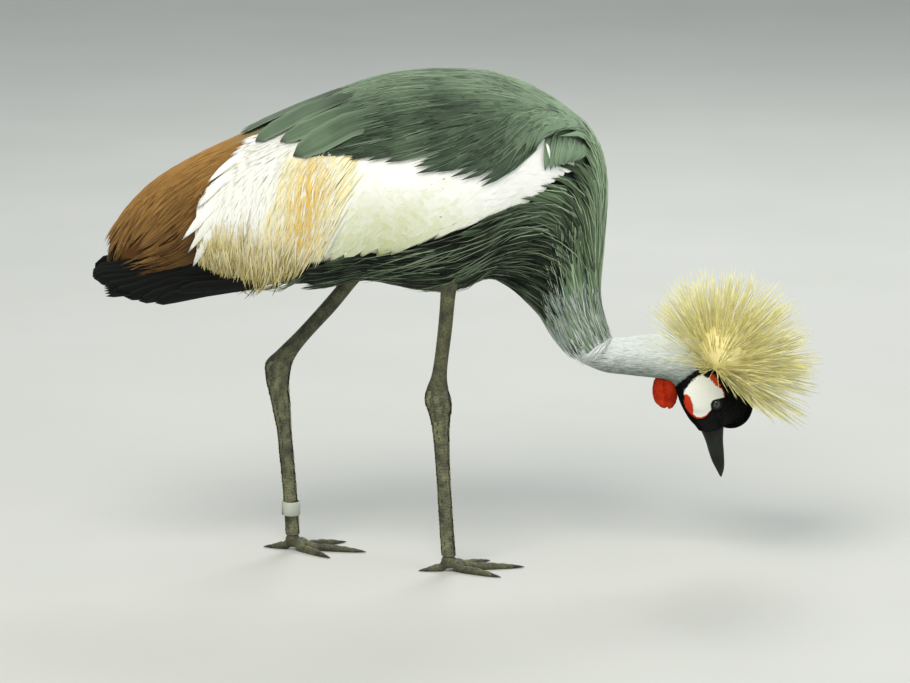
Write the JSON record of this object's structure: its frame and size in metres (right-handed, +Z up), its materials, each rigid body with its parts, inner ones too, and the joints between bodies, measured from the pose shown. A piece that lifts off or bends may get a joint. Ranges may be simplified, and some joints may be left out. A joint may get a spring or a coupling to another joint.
{
  "type": "crane model",
  "caption": "Life-size still model of a grey crowned crane, standing with its neck lowered to feed and its crest fanned.",
  "frame": {"origin": "on the floor, under the middle of the model's bounding box", "axes": "+X the way the bird faces, +Y its left side, +Z up"},
  "size_m": [0.8133, 0.2259, 0.5628],
  "materials": {
    "slate_feathers": "dark slate-grey contour feathers of the mantle, breast and belly",
    "pale_neck_feathers": "soft pale grey neck feathers",
    "white_wing_feathers": "white to cream wing coverts",
    "straw_plumes": "loose straw-gold plumes",
    "chestnut_feathers": "chestnut-brown secondaries",
    "black_feathers": "black flight and tail feathers",
    "crest_bristles": "stiff straw-gold bristles",
    "forehead_velvet": "short velvety black down",
    "white_cheek": "bare white cheek skin with scarlet patches",
    "wattle_skin": "scarlet wrinkled throat skin",
    "bill_horn": "dark grey-black horn",
    "claw_horn": "worn black horn",
    "eye_surface": "wet eye with a pale grey iris and black pupil",
    "leg_scales": "dark brown-grey scaled leg skin",
    "band_plastic": "pale grey-white plastic, slightly weathered"
  },
  "bodies": {
    "root": {"torso": "slate_feathers", "wing_R": "white_wing_feathers", "wing_L": "white_wing_feathers", "tail": "black_feathers", "neck_lower": "slate_feathers", "neck_upper": "pale_neck_feathers", "head": "white_cheek", "crest": "crest_bristles", "wattle": "wattle_skin", "bill_upper": "bill_horn", "bill_lower": "bill_horn", "eye_R": "eye_surface", "eye_L": "eye_surface", "shin_R": "leg_scales", "shin_L": "leg_scales", "tarsus_R": "leg_scales", "tarsus_L": "leg_scales", "foot_R": "leg_scales", "foot_L": "leg_scales", "claw_R_middle": "claw_horn", "claw_R_inner": "claw_horn", "claw_R_outer": "claw_horn", "claw_R_hind": "claw_horn", "claw_L_middle": "claw_horn", "claw_L_inner": "claw_horn", "claw_L_outer": "claw_horn", "claw_L_hind": "claw_horn", "leg_band": "band_plastic"}
  },
  "joints": []
}
